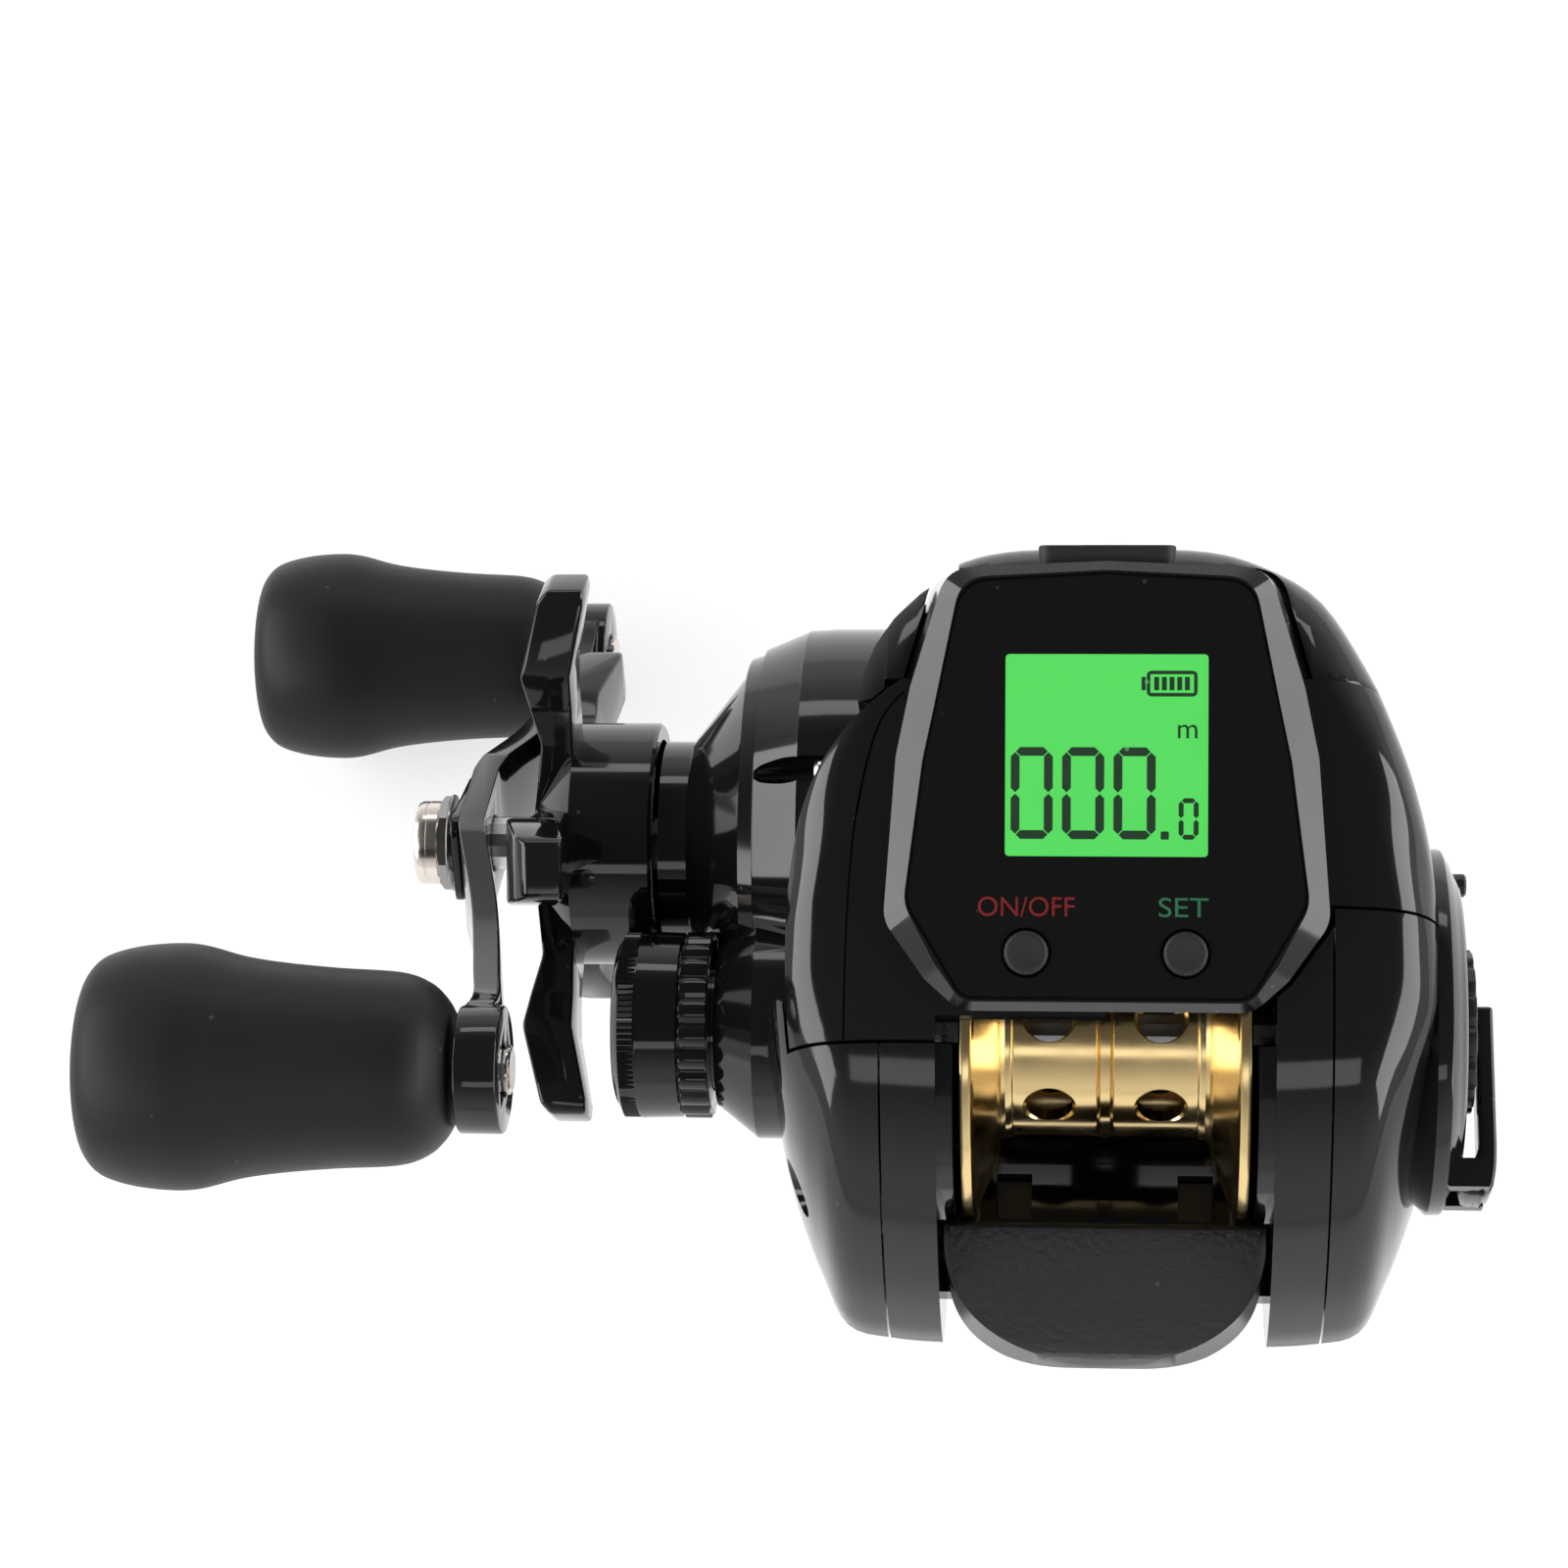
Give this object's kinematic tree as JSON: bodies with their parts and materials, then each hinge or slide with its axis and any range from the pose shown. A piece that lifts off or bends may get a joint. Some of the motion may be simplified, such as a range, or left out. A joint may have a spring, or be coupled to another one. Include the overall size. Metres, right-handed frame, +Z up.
{
  "type": "digital baitcasting reel",
  "caption": "Left-hand low-profile baitcasting reel with a tilted digital line counter, star drag, double-knob crank, gold spool and thumb bar clutch.",
  "frame": {"origin": "centre of the reel foot's flat underside, midway along the foot and between the spool's flanges", "axes": "+X along the spool from the handle side to the palm side, +Y along the rod to its tip, +Z up out of the rod"},
  "size_m": [0.1259, 0.0926, 0.0805],
  "materials": {
    "satin_black": "satin",
    "gloss_black": "gloss",
    "knob_rubber": "matte",
    "soft_rubber": "matte",
    "knob_cap_black": "gloss",
    "gold_anodised": "polished",
    "steel": "brushed",
    "nickel": "polished",
    "brass": "machined",
    "fibre": "matte",
    "white_plastic": "gloss",
    "lcd_green": "gloss",
    "board_green": "matte",
    "cell_silver": "matte"
  },
  "bodies": {
    "reel_body": {"frame": "satin_black", "reel_foot": "satin_black", "foot_screw_front": "steel", "foot_screw_rear": "steel", "front_cover": "gloss_black", "counter_housing": "gloss_black", "fascia_panel": "gloss_black", "lcd_screen": "lcd_green", "circuit_board": "board_green", "battery_cell": "cell_silver", "usb_socket": "steel", "gear_side_cover": "gloss_black", "palm_side_cover": "gloss_black", "dial_peg": "satin_black", "yoke_pin_upper": "steel", "yoke_pin_lower": "steel", "guide_rod": "steel", "cover_screw_top": "steel", "cover_screw_front": "steel", "cover_screw_rear": "steel", "spool_bearing_left": "steel", "spool_bearing_right": "steel", "anti_reverse_bearing": "steel", "shaft_bearing": "steel"},
    "crank": {"drive_shaft": "steel", "main_gear": "brass", "drag_washer": "fibre", "drag_plate": "steel", "crank_gear": "brass", "handle_arm": "gloss_black", "nut_lock_plate": "satin_black", "handle_nut": "nickel", "rear_spindle": "steel", "front_spindle": "steel"},
    "star": {"star_drag": "gloss_black"},
    "rear_knob_body": {"rear_knob": "knob_rubber", "rear_knob_cap": "knob_cap_black"},
    "front_knob_body": {"front_knob": "knob_rubber", "front_knob_cap": "knob_cap_black"},
    "spool_body": {"spool": "gold_anodised", "spool_shaft": "steel"},
    "clutch": {"clutch_yoke": "satin_black"},
    "pinion": {"pinion_gear": "brass"},
    "worm": {"worm_shaft": "steel", "worm_gear": "white_plastic"},
    "guide": {"line_guide": "satin_black"},
    "thumb": {"thumb_bar": "knob_rubber"},
    "cast_cap": {"cast_control_cap": "gloss_black"},
    "brake": {"brake_dial": "satin_black"},
    "lock_lever": {"side_lock_lever": "satin_black"},
    "power_key": {"power_button": "soft_rubber"},
    "set_key": {"set_button": "soft_rubber"},
    "port_flap": {"port_cover": "soft_rubber"}
  },
  "joints": [
    {"name": "crank_turn", "type": "hinge", "parent": "reel_body", "child": "crank", "pos_m": [-0.03, 0.0153, 0.02], "axis": [1, 0, 0], "continuous": true},
    {"name": "star_turn", "type": "hinge", "parent": "crank", "child": "star", "pos_m": [-0.05, 0.0153, 0.02], "axis": [1, 0, 0], "range_deg": [-180, 180]},
    {"name": "rear_knob_spin", "type": "hinge", "parent": "crank", "child": "rear_knob_body", "pos_m": [-0.07, -0.0161, 0.0479], "axis": [1, 0, 0], "continuous": true},
    {"name": "front_knob_spin", "type": "hinge", "parent": "crank", "child": "front_knob_body", "pos_m": [-0.07, 0.0467, -0.0079], "axis": [1, 0, 0], "continuous": true},
    {"name": "spool_spin", "type": "hinge", "parent": "reel_body", "child": "spool_body", "pos_m": [0, -0.005, 0.026], "axis": [1, 0, 0], "continuous": true},
    {"name": "thumb_press", "type": "slide", "parent": "reel_body", "child": "thumb", "axis": [0, 0, -1], "range_m": [0, 0.004]},
    {"name": "yoke_shift", "type": "slide", "parent": "reel_body", "child": "clutch", "axis": [-1, 0, 0], "range_m": [0, 0.0012]},
    {"name": "pinion_spin", "type": "hinge", "parent": "clutch", "child": "pinion", "pos_m": [-0.025, -0.005, 0.026], "axis": [1, 0, 0], "continuous": true},
    {"name": "worm_spin", "type": "hinge", "parent": "reel_body", "child": "worm", "pos_m": [0, 0.023, 0.0138], "axis": [1, 0, 0], "continuous": true},
    {"name": "guide_slide", "type": "slide", "parent": "reel_body", "child": "guide", "axis": [1, 0, 0], "range_m": [-0.0085, 0.0085]},
    {"name": "cast_cap_turn", "type": "hinge", "parent": "reel_body", "child": "cast_cap", "pos_m": [-0.042, -0.005, 0.026], "axis": [1, 0, 0], "range_deg": [-180, 180]},
    {"name": "brake_dial_turn", "type": "hinge", "parent": "reel_body", "child": "brake", "pos_m": [0.034, -0.005, 0.026], "axis": [1, 0, 0], "range_deg": [-135, 135]},
    {"name": "lock_lever_swing", "type": "hinge", "parent": "reel_body", "child": "lock_lever", "pos_m": [0.0334, -0.0196, 0.026], "axis": [0, 0, -1], "range_deg": [0, 95]},
    {"name": "power_button_press", "type": "slide", "parent": "reel_body", "child": "power_key", "axis": [0, 0.342, -0.9397], "range_m": [0, 0.0005], "stiffness_N_per_m": 300},
    {"name": "set_button_press", "type": "slide", "parent": "reel_body", "child": "set_key", "axis": [0, 0.342, -0.9397], "range_m": [0, 0.0005], "stiffness_N_per_m": 300},
    {"name": "port_cover_swing", "type": "hinge", "parent": "reel_body", "child": "port_flap", "pos_m": [0, 0.03068, 0.05391], "axis": [-1, 0, 0], "range_deg": [0, 110]}
  ],
  "couplings": [
    {"joint": "spool_spin", "follows": "crank_turn", "ratio": -7.2},
    {"joint": "pinion_spin", "follows": "crank_turn", "ratio": -7.2},
    {"joint": "worm_spin", "follows": "crank_turn", "ratio": -2},
    {"joint": "yoke_shift", "follows": "thumb_press", "ratio": 0.3}
  ]
}
